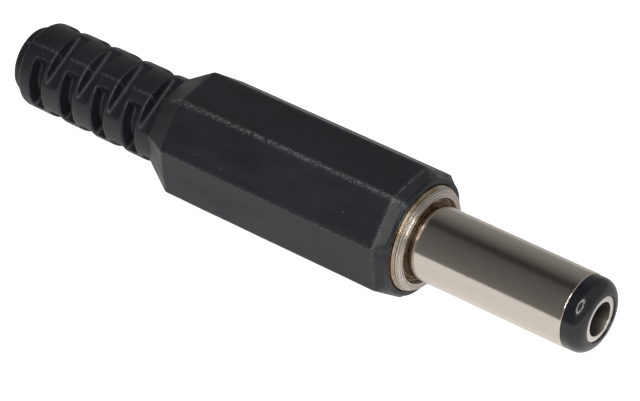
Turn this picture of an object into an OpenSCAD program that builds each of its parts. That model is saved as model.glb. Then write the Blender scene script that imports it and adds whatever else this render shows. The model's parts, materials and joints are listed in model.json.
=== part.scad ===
// DC barrel plug for a cable, 5.5 mm sleeve with a 2.5 mm centre contact.
// The plug lies along X: the tip points to +X, and one flat of the cover faces -Z.
// The origin is on the long axis, at the collar's front face, where a jack stops the plug.

/* [Outer contact] */
// Outside diameter of the sleeve that the jack's spring touches
sleeve_d = 5.5; // [5.3:0.05:5.8]
// Wall thickness of the sleeve
sleeve_wall = 0.4; // [0.35:0.05:0.5]
// Length of the sleeve in front of the collar
sleeve_reach = 12.5; // [8:0.5:16]
// How far the sleeve's shank is turned down, on the radius, for its seat in the collar
shank_step = 0.2; // [0.16:0.01:0.24]

/* [Centre contact] */
// Diameter of the hole that takes the jack's pin
pin_hole_d = 2.5; // [1.9:0.1:2.6]
// Depth of that hole behind the insulator's nose
pin_hole_depth = 12.5; // [8:0.5:13]
// Wall thickness of the contact's tube
contact_wall = 0.35; // [0.3:0.01:0.4]
// How far the lip at the contact's mouth stands out from the tube
contact_lip = 0.09; // [0.05:0.01:0.12]
// Length of that lip
contact_lip_length = 0.65; // [0.4:0.05:0.8]
// Depth of the contact's mouth behind the insulator's nose
contact_inset = 0.08; // [0.02:0.02:0.2]
// Diameter of the riveted tail
tail_d = 1.8; // [1.4:0.1:2]

/* [Insulator] */
// Length of the nose in front of the sleeve
nose_length = 1.5; // [1.2:0.1:2]
// Radius of the nose's rounded edge
nose_round = 0.95; // [0.6:0.05:0.95]
// How far the nose stands inside the sleeve's outline, on the radius
nose_step = 0.04; // [0.02:0.01:0.1]

/* [Collar] */
// Diameter of the rim that meets the jack
rim_d = 7.56; // [7.3:0.02:7.7]
// Length of the rim
rim_length = 0.45; // [0.3:0.05:0.8]
// Diameter of the flange behind the rim, which sits in the cover's mouth
flange_d = 7.8; // [7.75:0.05:8]
// Length of the flange
flange_length = 0.8; // [0.7:0.05:1.2]
// Width of the ring-shaped recess around the sleeve
recess_width = 0.4; // [0.36:0.02:0.44]
// Depth of that recess
recess_depth = 0.5; // [0.3:0.05:0.6]
// Outside diameter of the thread that the cover screws onto
thread_d = 6.9; // [6.7:0.05:7.1]
// Length of the threaded spigot behind the flange
spigot_length = 4.75; // [3:0.25:6]
// Width of the groove between the flange and the thread
groove_width = 0.4; // [0.2:0.05:0.6]
// Depth of that groove
groove_depth = 0.35; // [0.2:0.05:0.4]

/* [Solder terminals] */
// Thickness of the sheet metal
sheet = 0.4; // [0.3:0.05:0.5]
// Thickness of the insulating washer between the terminals
washer_thickness = 0.6; // [0.4:0.1:1]
// Radial clearance between the terminals and the cover
lug_clearance = 0.2; // [0.15:0.05:0.3]
// Length of the ground lug behind the collar
lug_length = 9.6; // [9:0.2:10]
// Half the angle that the lug's strip spans
lug_strip_angle = 28; // [20:1:35]
// Length of the cable clamp at the lug's end
clamp_length = 2.8; // [2:0.2:3]
// Half the angle that the open cable clamp spans
clamp_angle = 120; // [100:5:130]
// Diameter of the solder hole in the lug
lug_hole_d = 1.2; // [0.8:0.1:1.4]
// Distance of that hole behind the collar
lug_hole_back = 3.6; // [3:0.1:4.5]
// Width of the centre terminal's tab
tab_width = 2; // [1.6:0.1:2.2]
// Length of that tab behind the washer
tab_length = 5; // [4:0.2:5.4]
// Height of that tab's lower face above the long axis
tab_height = 1.25; // [1.2:0.05:1.35]
// Diameter of the solder hole in the tab
tab_hole_d = 1; // [0.6:0.1:1.1]
// Diameter of the rivet head on the contact's tail
rivet_d = 2.2; // [2.1:0.05:2.3]
// Height of the rivet head
rivet_height = 0.35; // [0.2:0.05:0.5]

/* [Cover] */
// Distance across the flats of the octagonal grip
flats = 9.25; // [9:0.05:10]
// Length of the grip between its chamfers
grip_length = 18.57; // [17.5:0.1:22]
// How far the octagon's corners are rounded off
corner_trim = 0.05; // [0.02:0.01:0.1]
// Length of the front chamfer
front_chamfer_length = 0.7; // [0.4:0.1:1]
// Depth of the front chamfer on each flat
front_chamfer_depth = 0.35; // [0.2:0.05:0.4]
// Length of the straight round rim in front of that chamfer
mouth_rim = 0.2; // [0.1:0.05:0.3]
// Outer radius of that rim
mouth_rim_r = 4.42; // [4.35:0.01:4.5]
// Depth of the mouth's seat for the collar's flange
mouth_depth = 0.6; // [0.4:0.05:0.65]
// Length of the rear taper between the grip and the strain relief
taper_length = 2.68; // [2:0.1:4]
// Diameter of the wiring space
wiring_d = 6.2; // [6:0.05:6.3]
// Length of the cone where the wiring space narrows to the cable hole
wiring_cone = 1.8; // [1:0.1:2.2]
// Wall between the wiring space and the rear end of the grip's flats
wiring_end_gap = 0.1; // [0.1:0.1:1]
// Running clearance on the radius, where one piece slides or turns in another
running_gap = 0.05; // [0.03:0.01:0.08]
// Assembly clearance on the radius, where pieces are pressed or stacked together
press_gap = 0.02; // [0.01:0.01:0.03]

/* [Strain relief] */
// Diameter at the root
relief_root_d = 6.6; // [6.4:0.05:7]
// Diameter at the tail
relief_tail_d = 6.5; // [6.2:0.05:6.6]
// Length between the taper and the tail collar
relief_length = 12.25; // [11.8:0.05:14]
// Radius of the rounded edge at the tail
tail_round = 0.25; // [0.2:0.05:0.5]
// Diameter of the short boss where the cable enters
boss_d = 5.16; // [4.9:0.02:5.16]
// Length of that boss
boss_length = 0.95; // [0.6:0.05:2]
// Diameter of the cable hole
cable_hole_d = 4.1; // [3.6:0.1:4.3]
// Number of slots on each side
slot_count = 4; // [2:1:4]
// Distance from one slot to the next on the same side
slot_pitch = 2.96; // [2.8:0.02:3]
// Width of a slot
slot_width = 1.12; // [0.9:0.02:1.2]
// Distance of the first slot's middle from the tail end of the strain relief
slot_start = 1.7; // [1.4:0.05:1.8]
// Distance from the parting plane to the floor of the deep slots
slot_deep_floor = 0.86; // [0.7:0.02:1]
// Distance from the parting plane to the floor of the shallow slots on the other side
slot_shallow_floor = 2.55; // [2.45:0.05:2.7]
// Distance that the side slots pass beyond the long axis
slot_open_depth = 0.1; // [0:0.05:0.9]
// Distance from the long axis to the floor of the closed slots
slot_floor = 2.3; // [2.25:0.05:2.5]
// Radius of the rounded edges at the foot of a slot
slot_edge = 0.25; // [0.1:0.05:0.4]
// Turn of the mould's parting plane from upright
parting_angle = 22.5; // [0:0.5:45]

/* [Hidden] */
$fn = 96;

// Clearance that a cutter reaches past the face it cuts
over = 1;

// Radii
sleeve_r = sleeve_d / 2;
sleeve_in_r = sleeve_r - sleeve_wall;
shank_r = sleeve_r - shank_step;
insulator_r = sleeve_in_r - press_gap;
pin_hole_r = pin_hole_d / 2;
contact_r = pin_hole_r + contact_wall;
lip_r = contact_r + contact_lip;
tail_r = tail_d / 2;
rivet_r = rivet_d / 2;
nose_r = sleeve_r - nose_step;
rim_r = rim_d / 2;
flange_r = flange_d / 2;
recess_r = sleeve_r + recess_width;
thread_r = thread_d / 2;
groove_r = thread_r - groove_depth;
wiring_r = wiring_d / 2;
lug_r = wiring_r - lug_clearance;
lug_in_r = lug_r - sheet;
washer_r = lug_in_r - running_gap;
cable_hole_r = cable_hole_d / 2;
grip_r = flats / 2 / cos(22.5) - corner_trim;

// Places along X, from the tip to the tail
nose_front_x = sleeve_reach + nose_length;
contact_front_x = nose_front_x - contact_inset;
contact_lip_x = contact_front_x - contact_lip_length;
pin_hole_end_x = nose_front_x - pin_hole_depth;
contact_shoulder_x = pin_hole_end_x - 2.5;
flange_front_x = -rim_length;
flange_back_x = flange_front_x - flange_length;
spigot_end_x = flange_back_x - spigot_length;
lug_back_x = spigot_end_x - sheet;
washer_back_x = lug_back_x - washer_thickness;
terminal_back_x = washer_back_x - sheet;
lug_end_x = spigot_end_x - lug_length;
mouth_x = flange_back_x + mouth_depth;
chamfer_front_x = mouth_x - mouth_rim;
grip_front_x = chamfer_front_x - front_chamfer_length;
grip_back_x = grip_front_x - grip_length;
relief_root_x = grip_back_x - taper_length;
relief_end_x = relief_root_x - relief_length;
tail_x = relief_end_x - boss_length;
thread_hole_end_x = spigot_end_x - 1;
wiring_end_x = grip_back_x + wiring_end_gap;

// Points along an arc about [cx, cy]
function arc(cx, cy, r, from, to, steps = 6) = [
    for (i = [0:steps])
        let (a = from + (to - from) * i / steps)
        [cx + r * cos(a), cy + r * sin(a)]
];

// A shape turned about the long axis, from an outline of [radius, x] points
module turned(outline) {
    rotate([0, 90, 0])
        rotate_extrude()
            polygon(outline);
}

// A curved strip about the long axis, centred on the underside
module strip(inner_r, outer_r, x_from, x_to, half_angle) {
    translate([x_from, 0, 0])
        rotate([0, 90, 0])
            rotate_extrude(angle = 2 * half_angle, start = -half_angle)
                translate([inner_r, 0])
                    square([outer_r - inner_r, x_to - x_from]);
}

// Two opposite flats of the grip, with the chamfer and the taper at their ends
module flat_pair() {
    half = flats / 2;
    front = half - front_chamfer_depth;
    root = relief_root_d / 2 * cos(22.5);
    edge = [
        [relief_root_x, root],
        [grip_back_x, half],
        [grip_front_x, half],
        [chamfer_front_x, front],
        [mouth_x, front]
    ];
    far_edge = [for (i = [len(edge) - 1:-1:0]) [edge[i].x, -edge[i].y]];
    rotate([90, 0, 0])
        linear_extrude(height = 2 * flats, center = true)
            polygon(concat(edge, far_edge));
}

// The octagonal grip: four pairs of flats, with the corners and the mouth's rim rounded
module grip() {
    rim_round = 0.15;
    intersection() {
        intersection_for (turn = [0:45:135])
            rotate([turn, 0, 0])
                flat_pair();
        turned(concat(
            [
                [0, relief_root_x],
                [grip_r, relief_root_x],
                [grip_r, grip_front_x],
                [mouth_rim_r, chamfer_front_x]
            ],
            arc(mouth_rim_r - rim_round, mouth_x - rim_round, rim_round, 0, 90),
            [[0, mouth_x]]
        ));
    }
}

// The strain relief before its slots are cut, with the boss at its tail
module relief_body() {
    boss_round = 0.15;
    root_overlap = 0.4;
    turned(concat(
        [[0, tail_x]],
        arc(boss_d / 2 - boss_round, tail_x + boss_round, boss_round, -90, 0),
        [[boss_d / 2, relief_end_x]],
        arc(relief_tail_d / 2 - tail_round, relief_end_x + tail_round, tail_round, -90, 0),
        [
            [relief_root_d / 2, relief_root_x],
            [relief_root_d / 2, relief_root_x + root_overlap],
            [0, relief_root_x + root_overlap]
        ]
    ));
}

// The mouth, the thread's hole, the wiring space and the cable hole
module cover_bore() {
    mouth_r = flange_r + running_gap;
    thread_hole_r = thread_r + running_gap;
    turned([
        [0, tail_x - over],
        [cable_hole_r, tail_x - over],
        [cable_hole_r, wiring_end_x - wiring_cone],
        [wiring_r, wiring_end_x],
        [wiring_r, thread_hole_end_x],
        [thread_hole_r, thread_hole_end_x],
        [thread_hole_r, flange_back_x],
        [mouth_r, flange_back_x],
        [mouth_r, mouth_x + over],
        [0, mouth_x + over]
    ]);
}

// A blade of the mould with rounded edges, which leaves one slot above the given floor
module blade(y_from, y_to, floor_z) {
    reach = flats;
    translate([0, y_from, floor_z]) {
        translate([-slot_width / 2, 0, slot_edge])
            cube([slot_width, y_to - y_from, reach]);
        translate([slot_edge - slot_width / 2, 0, 0])
            cube([slot_width - 2 * slot_edge, y_to - y_from, reach]);
        for (x = [slot_edge - slot_width / 2, slot_width / 2 - slot_edge])
            translate([x, 0, slot_edge])
                rotate([-90, 0, 0])
                    cylinder(r = slot_edge, h = y_to - y_from);
    }
}

// One slot position: deep on one side, shallow on the other, with a closed slot across the foot
module slot_group() {
    reach = flats / 2;
    blade(-reach, -slot_deep_floor, -slot_open_depth);
    blade(slot_shallow_floor, reach, -slot_open_depth);
    rotate([180, 0, 0])
        blade(-reach, reach, slot_floor);
}

// All slots. Every second group is turned over, so that the open sides are staggered
module relief_slots() {
    rotate([parting_angle, 0, 0])
        for (i = [0:2 * slot_count - 1])
            translate([relief_end_x + slot_start + i * slot_pitch / 2, 0, 0])
                rotate([180 * (i % 2), 0, 0])
                    slot_group();
}

// The moulded cover: octagonal grip and strain relief in one piece
module cover() {
    color([0.13, 0.13, 0.14])
        difference() {
            union() {
                grip();
                relief_body();
            }
            cover_bore();
            relief_slots();
        }
}

// The turned collar: rim and flange in front, threaded spigot behind
module threaded_collar() {
    edge_round = 0.2;
    lead_in = 0.3;
    bore_r = shank_r + press_gap;
    color([0.78, 0.76, 0.72])
        turned(concat(
            [
                [bore_r, spigot_end_x],
                [thread_r - lead_in, spigot_end_x],
                [thread_r, spigot_end_x + lead_in],
                [thread_r, flange_back_x - groove_width],
                [groove_r, flange_back_x - groove_width],
                [groove_r, flange_back_x],
                [flange_r, flange_back_x],
                [flange_r, flange_front_x],
                [rim_r, flange_front_x]
            ],
            arc(rim_r - edge_round, -edge_round, edge_round, 0, 90),
            [
                [recess_r, 0],
                [recess_r, -recess_depth],
                [bore_r, -recess_depth]
            ]
        ));
}

// The drawn sleeve, necked down in the recess to the shank that is pressed through the collar
module outer_sleeve() {
    end_chamfer = 0.1;
    neck_front_x = -0.1;
    color([0.78, 0.76, 0.72])
        turned([
            [sleeve_in_r, spigot_end_x],
            [shank_r, spigot_end_x],
            [shank_r, -recess_depth],
            [sleeve_r, neck_front_x],
            [sleeve_r, sleeve_reach - end_chamfer],
            [sleeve_r - end_chamfer, sleeve_reach],
            [sleeve_in_r, sleeve_reach]
        ]);
}

// The moulded insulator: nose, tube through the sleeve, and the seats of the centre contact
module insulator() {
    color([0.1, 0.1, 0.11])
        turned(concat(
            [
                [tail_r + press_gap, lug_back_x],
                [insulator_r, lug_back_x],
                [insulator_r, sleeve_reach],
                [nose_r, sleeve_reach]
            ],
            arc(nose_r - nose_round, nose_front_x - nose_round, nose_round, 0, 90, 10),
            [
                [lip_r + press_gap, nose_front_x],
                [lip_r + press_gap, contact_lip_x - press_gap],
                [contact_r + press_gap, contact_lip_x - press_gap],
                [contact_r + press_gap, contact_shoulder_x],
                [tail_r + press_gap, contact_shoulder_x]
            ]
        ));
}

// The turned centre contact: drilled tube in front, riveted tail behind
module centre_contact() {
    mouth_chamfer = 0.05;
    drill_tip = 0.6;
    color([0.82, 0.8, 0.76])
        turned([
            [0, pin_hole_end_x - drill_tip],
            [pin_hole_r, pin_hole_end_x],
            [pin_hole_r, contact_front_x - mouth_chamfer],
            [pin_hole_r + mouth_chamfer, contact_front_x],
            [lip_r, contact_front_x],
            [lip_r, contact_lip_x],
            [contact_r, contact_lip_x],
            [contact_r, contact_shoulder_x],
            [tail_r, contact_shoulder_x],
            [tail_r, terminal_back_x],
            [rivet_r, terminal_back_x],
            [rivet_r * 0.75, terminal_back_x - rivet_height],
            [0, terminal_back_x - rivet_height]
        ]);
}

// The stamped ground lug: ring behind the collar, strip, and open cable clamp
module ground_lug() {
    color([0.8, 0.74, 0.6])
        difference() {
            union() {
                turned([
                    [insulator_r + press_gap, lug_back_x],
                    [lug_r, lug_back_x],
                    [lug_r, spigot_end_x],
                    [insulator_r + press_gap, spigot_end_x]
                ]);
                strip(lug_in_r, lug_r, lug_end_x, lug_back_x + sheet / 2, lug_strip_angle);
                strip(lug_in_r, lug_r, lug_end_x, lug_end_x + clamp_length, clamp_angle);
            }
            translate([spigot_end_x - lug_hole_back, 0, -lug_r - over])
                cylinder(d = lug_hole_d, h = sheet + 2 * over);
        }
}

// The insulating washer between the ground lug and the centre terminal
module rear_washer() {
    color([0.45, 0.3, 0.18])
        turned([
            [tail_r + press_gap, washer_back_x],
            [washer_r, washer_back_x],
            [washer_r, lug_back_x],
            [tail_r + press_gap, lug_back_x]
        ]);
}

// The stamped centre terminal: disc under the rivet head, and a tab with a solder hole
module centre_terminal() {
    disc_margin = 0.15;
    disc_r = norm([tab_width / 2, tab_height + sheet]) + disc_margin;
    tab_end_x = washer_back_x - tab_length;
    hole_x = tab_end_x + tab_width / 2;
    color([0.8, 0.74, 0.6])
        difference() {
            union() {
                turned([
                    [0, terminal_back_x],
                    [disc_r, terminal_back_x],
                    [disc_r, washer_back_x],
                    [0, washer_back_x]
                ]);
                translate([hole_x, -tab_width / 2, tab_height])
                    cube([washer_back_x - hole_x, tab_width, sheet]);
                translate([hole_x, 0, tab_height])
                    cylinder(d = tab_width, h = sheet);
            }
            translate([hole_x, 0, tab_height - over])
                cylinder(d = tab_hole_d, h = sheet + 2 * over);
            translate([terminal_back_x - over, 0, 0])
                rotate([0, 90, 0])
                    cylinder(r = tail_r + press_gap, h = sheet + 2 * over);
        }
}

cover();
threaded_collar();
outer_sleeve();
insulator();
centre_contact();
ground_lug();
rear_washer();
centre_terminal();
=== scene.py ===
"""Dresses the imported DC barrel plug: finished meshes, materials, studio and camera."""

import json
import logging
import math
from dataclasses import dataclass, field
from enum import Enum

import bmesh
import bpy
import numpy as np
from mathutils import Matrix, Vector, noise


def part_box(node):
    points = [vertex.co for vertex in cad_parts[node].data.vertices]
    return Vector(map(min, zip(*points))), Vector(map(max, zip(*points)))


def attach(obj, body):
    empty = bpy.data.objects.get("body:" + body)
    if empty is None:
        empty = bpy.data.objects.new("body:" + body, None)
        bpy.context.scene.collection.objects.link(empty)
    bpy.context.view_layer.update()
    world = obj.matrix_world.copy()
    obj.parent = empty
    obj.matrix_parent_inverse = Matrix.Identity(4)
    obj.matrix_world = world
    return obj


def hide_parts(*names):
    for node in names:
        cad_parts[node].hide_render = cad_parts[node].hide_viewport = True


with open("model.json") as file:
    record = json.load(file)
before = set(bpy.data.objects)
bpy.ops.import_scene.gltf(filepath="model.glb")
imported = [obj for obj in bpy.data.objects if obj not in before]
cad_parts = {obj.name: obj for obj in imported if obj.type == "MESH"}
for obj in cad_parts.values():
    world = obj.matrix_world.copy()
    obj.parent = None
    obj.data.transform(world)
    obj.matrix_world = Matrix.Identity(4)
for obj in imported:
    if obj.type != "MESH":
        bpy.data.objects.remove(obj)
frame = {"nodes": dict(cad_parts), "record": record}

MM = 0.001
LOG = logging.getLogger("plug")

Ring = list[tuple[float, float, float]]
Outline = list[tuple[float, float]]


class Body(Enum):
    """The two bodies that the plug comes apart into."""

    FRONT = "front"
    COVER = "cover"


class Slot(Enum):
    """The finishes that the record lists."""

    COVER_PLASTIC = "cover_plastic"
    INSULATOR_PLASTIC = "insulator_plastic"
    PLATED_BRASS = "plated_brass"
    TINNED_BRASS = "tinned_brass"
    WASHER_BOARD = "washer_board"


# ---------------------------------------------------------------- mesh helpers


def arc(
    centre_r: float,
    centre_x: float,
    radius: float,
    start: float,
    end: float,
    steps: int = 6,
) -> Outline:
    """Points along an arc of an outline.

    Args:
        centre_r: Distance of the arc's centre from the long axis, in mm.
        centre_x: Place of the arc's centre along the long axis, in mm.
        radius: Radius of the arc, in mm.
        start: First angle in degrees, from the outward direction towards +X.
        end: Last angle in degrees.
        steps: Number of chords.

    Returns:
        The arc's points as (radius, x) pairs.
    """
    points = []
    for i in range(steps + 1):
        angle = math.radians(start + (end - start) * i / steps)
        points.append(
            (centre_r + radius * math.cos(angle), centre_x + radius * math.sin(angle))
        )
    return points


def around(radius: float, x: float, theta: float) -> tuple[float, float, float]:
    """A point on a circle about the long axis.

    Args:
        radius: Distance from the axis, in mm.
        x: Place along the axis, in mm.
        theta: Angle in radians from -Y, turning towards +Z.

    Returns:
        The point in mm.
    """
    return (x, -radius * math.cos(theta), radius * math.sin(theta))


class Skin:
    """Collects rings of points and joins them into one closed mesh."""

    def __init__(self) -> None:
        """Starts with no rings."""
        self.rings: list[Ring] = []

    def add(self, ring: Ring) -> None:
        """Adds one ring, which has as many points as the others."""
        self.rings.append(ring)

    def to_object(self, name: str, loop: bool = False, smooth: float = 30.0) -> bpy.types.Object:
        """Joins the rings in order.

        Args:
            name: Name of the new object.
            loop: Joins the last ring to the first, in place of closing both ends.
            smooth: Angle in degrees under which an edge is shaded smooth.

        Returns:
            The object, with its points in metres.
        """
        count = len(self.rings[0])
        points = [Vector(p) * MM for ring in self.rings for p in ring]
        faces = []
        spans = len(self.rings) if loop else len(self.rings) - 1
        for i in range(spans):
            here = i * count
            there = ((i + 1) % len(self.rings)) * count
            for j in range(count):
                after = (j + 1) % count
                faces.append((here + j, here + after, there + after, there + j))
        if not loop:
            for ring_index in (0, len(self.rings) - 1):
                centre = sum((Vector(p) for p in self.rings[ring_index]), Vector()) / count
                points.append(centre * MM)
                first = ring_index * count
                hub = len(points) - 1
                faces.extend(
                    (first + j, first + (j + 1) % count, hub) for j in range(count)
                )
        mesh = bpy.data.meshes.new(name)
        mesh.from_pydata([tuple(p) for p in points], [], faces)
        return finish_mesh(name, mesh, smooth)


def finish_mesh(name: str, mesh: bpy.types.Mesh, smooth: float) -> bpy.types.Object:
    """Cleans a mesh, turns its faces outwards and puts it in the scene.

    Args:
        name: Name of the object.
        mesh: The mesh, in metres.
        smooth: Angle in degrees under which an edge is shaded smooth.

    Returns:
        The linked object.
    """
    work = bmesh.new()
    work.from_mesh(mesh)
    bmesh.ops.remove_doubles(work, verts=work.verts, dist=0.0005 * MM)
    bmesh.ops.dissolve_degenerate(work, edges=work.edges, dist=0.0001 * MM)
    bmesh.ops.recalc_face_normals(work, faces=work.faces)
    work.to_mesh(mesh)
    work.free()
    mesh.name = name
    piece = bpy.data.objects.new(name, mesh)
    bpy.context.scene.collection.objects.link(piece)
    shade(piece, smooth)
    return piece


def shade(piece: bpy.types.Object, smooth: float) -> None:
    """Shades a piece smooth, with sharp edges where faces meet at more than an angle.

    Args:
        piece: The piece.
        smooth: The angle in degrees.
    """
    piece.data.shade_smooth()
    work = bmesh.new()
    work.from_mesh(piece.data)
    limit = math.radians(smooth)
    for edge in work.edges:
        sharp = len(edge.link_faces) != 2 or edge.calc_face_angle(0.0) > limit
        edge.smooth = not sharp
    work.to_mesh(piece.data)
    work.free()


def lathe(name: str, outline: Outline, segments: int = 160, smooth: float = 30.0) -> bpy.types.Object:
    """Turns an outline about the long axis.

    Args:
        name: Name of the object.
        outline: (radius, x) pairs in mm. An outline that starts and ends on the axis is closed
            there, and any other is joined end to start as a ring.
        segments: Points around the axis.
        smooth: Angle in degrees under which an edge is shaded smooth.

    Returns:
        The turned piece.
    """
    solid = outline[0][0] < 1e-6 and outline[-1][0] < 1e-6
    body = outline[1:-1] if solid else outline
    skin = Skin()
    for radius, x in body:
        skin.add([around(radius, x, 2 * math.pi * j / segments) for j in range(segments)])
    if not solid:
        return skin.to_object(name, loop=True, smooth=smooth)
    piece = skin.to_object(name, loop=False, smooth=smooth)
    hubs = [v for v in piece.data.vertices if math.hypot(v.co.y, v.co.z) < 1e-9]
    for hub in hubs:
        nearest = min((outline[0], outline[-1]), key=lambda p: abs(p[1] * MM - hub.co.x))
        hub.co.x = nearest[1] * MM
    return piece


def plain_mesh(piece: bpy.types.Object) -> bpy.types.Object:
    """Applies a piece's modifiers.

    Args:
        piece: The piece with live modifiers.

    Returns:
        The same object, holding the result as a plain mesh.
    """
    bpy.context.view_layer.update()
    graph = bpy.context.evaluated_depsgraph_get()
    result = bpy.data.meshes.new_from_object(piece.evaluated_get(graph))
    piece.modifiers.clear()
    old = piece.data
    piece.data = result
    result.name = piece.name
    bpy.data.meshes.remove(old)
    return piece


def combine(piece: bpy.types.Object, tool: bpy.types.Object, operation: str) -> None:
    """Adds a tool's solid to a piece or cuts it away, and deletes the tool.

    Args:
        piece: The piece that changes.
        tool: The other solid.
        operation: UNION or DIFFERENCE.
    """
    change = piece.modifiers.new("combine", "BOOLEAN")
    change.operation = operation
    change.solver = "MANIFOLD"
    change.object = tool
    plain_mesh(piece)
    bpy.data.objects.remove(tool)


# ---------------------------------------------------------------- sizes from the frame


class Plug:
    """The plug's main sizes, in mm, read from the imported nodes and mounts."""

    def __init__(self) -> None:
        """Reads the boxes and mounts."""
        mounts = {m["name"]: m for m in frame["record"]["mounts"]}
        self.sleeve_r: float = mounts["outer_contact"]["dims"]["r_mm"]
        self.pin_hole_r: float = mounts["centre_contact_hole"]["dims"]["r_mm"]
        self.cable_hole_r: float = mounts["cable_entry"]["dims"]["r_mm"]
        self.spigot_end = self.low("threaded_collar").x
        self.flange_r = self.high("threaded_collar").z
        self.sleeve_end = self.high("outer_sleeve").x
        self.nose_end = self.high("insulator").x
        self.nose_r = self.high("insulator").z
        self.contact_end = self.high("centre_contact").x
        self.lip_r = self.high("centre_contact").z
        self.rivet_end = self.low("centre_contact").x
        self.tail = self.low("cover").x
        self.mouth = self.high("cover").x
        self.half_flats = self.high("cover").z
        self.floor = self.low("cover").z

    def low(self, node: str) -> Vector:
        """The lowest corner of a node's box, in mm."""
        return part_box(node)[0] / MM

    def high(self, node: str) -> Vector:
        """The highest corner of a node's box, in mm."""
        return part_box(node)[1] / MM


# ---------------------------------------------------------------- materials


class Shader:
    """A material's node tree, with short calls for its nodes and links."""

    def __init__(self, name: str) -> None:
        """Starts a material that holds only its output and one Principled BSDF."""
        self.material = bpy.data.materials.new(name)
        self.material.use_nodes = True
        self.tree = self.material.node_tree
        self.tree.nodes.clear()
        self.surface = self.node("ShaderNodeBsdfPrincipled")
        output = self.node("ShaderNodeOutputMaterial")
        self.link(self.surface.outputs["BSDF"], output.inputs["Surface"])
        place = self.node("ShaderNodeTexCoord")
        scaled = self.node("ShaderNodeVectorMath", operation="SCALE")
        self.link(place.outputs["Object"], scaled.inputs[0])
        scaled.inputs["Scale"].default_value = 1.0 / MM
        self.mm = scaled.outputs[0]
        self.normal = place.outputs["Normal"]

    def node(self, kind: str, **settings: object) -> bpy.types.Node:
        """Adds a node and sets its properties."""
        added = self.tree.nodes.new(kind)
        for key, value in settings.items():
            setattr(added, key, value)
        return added

    def link(self, source: bpy.types.NodeSocket, target: bpy.types.NodeSocket) -> None:
        """Joins two sockets."""
        self.tree.links.new(source, target)

    def set(self, **values: object) -> None:
        """Sets constant values on the Principled BSDF, with spaces written as underscores."""
        for key, value in values.items():
            self.surface.inputs[key.replace("_", " ")].default_value = value

    def math(self, operation: str, a: object, b: object = 0.0, clamp: bool = False) -> bpy.types.NodeSocket:
        """A Math node whose two inputs are sockets or numbers."""
        step = self.node("ShaderNodeMath", operation=operation, use_clamp=clamp)
        for index, value in enumerate((a, b)):
            if isinstance(value, bpy.types.NodeSocket):
                self.link(value, step.inputs[index])
            else:
                step.inputs[index].default_value = value
        return step.outputs[0]

    def stretch(
        self, vector: bpy.types.NodeSocket, scale: tuple[float, float, float]
    ) -> bpy.types.NodeSocket:
        """The vector with each of its parts multiplied."""
        step = self.node("ShaderNodeVectorMath", operation="MULTIPLY")
        self.link(vector, step.inputs[0])
        step.inputs[1].default_value = scale
        return step.outputs[0]

    def noise(
        self, vector: bpy.types.NodeSocket, scale: float, detail: float = 2.0, rough: float = 0.5
    ) -> bpy.types.NodeSocket:
        """A noise value with so many features for each mm."""
        step = self.node("ShaderNodeTexNoise")
        self.link(vector, step.inputs["Vector"])
        step.inputs["Scale"].default_value = scale
        step.inputs["Detail"].default_value = detail
        step.inputs["Roughness"].default_value = rough
        return step.outputs["Fac"]

    def cells(self, vector: bpy.types.NodeSocket, scale: float) -> bpy.types.Node:
        """A Voronoi node with so many cells for each mm."""
        step = self.node("ShaderNodeTexVoronoi")
        self.link(vector, step.inputs["Vector"])
        step.inputs["Scale"].default_value = scale
        return step

    def remap(
        self, value: bpy.types.NodeSocket, low: float, high: float, to_low: float = 0.0, to_high: float = 1.0
    ) -> bpy.types.NodeSocket:
        """The value moved from one range to another, and held inside it."""
        step = self.node("ShaderNodeMapRange", clamp=True)
        self.link(value, step.inputs["Value"])
        for key, number in (
            ("From Min", low),
            ("From Max", high),
            ("To Min", to_low),
            ("To Max", to_high),
        ):
            step.inputs[key].default_value = number
        return step.outputs["Result"]

    def blend(self, factor: bpy.types.NodeSocket, a: object, b: object) -> bpy.types.NodeSocket:
        """A mix of two colours, each a socket or a written colour."""
        step = self.node("ShaderNodeMix", data_type="RGBA")
        self.link(factor, step.inputs["Factor"])
        for key, value in ((6, a), (7, b)):
            if isinstance(value, bpy.types.NodeSocket):
                self.link(value, step.inputs[key])
            else:
                step.inputs[key].default_value = (*value, 1.0)
        return step.outputs[2]

    def bump(
        self,
        height: bpy.types.NodeSocket,
        depth_mm: float,
        before: bpy.types.NodeSocket | None = None,
    ) -> bpy.types.NodeSocket:
        """A bump of so many mm, on top of an earlier one."""
        step = self.node("ShaderNodeBump")
        self.link(height, step.inputs["Height"])
        step.inputs["Strength"].default_value = 1.0
        step.inputs["Distance"].default_value = depth_mm * MM
        if before is not None:
            self.link(before, step.inputs["Normal"])
        return step.outputs["Normal"]


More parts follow.
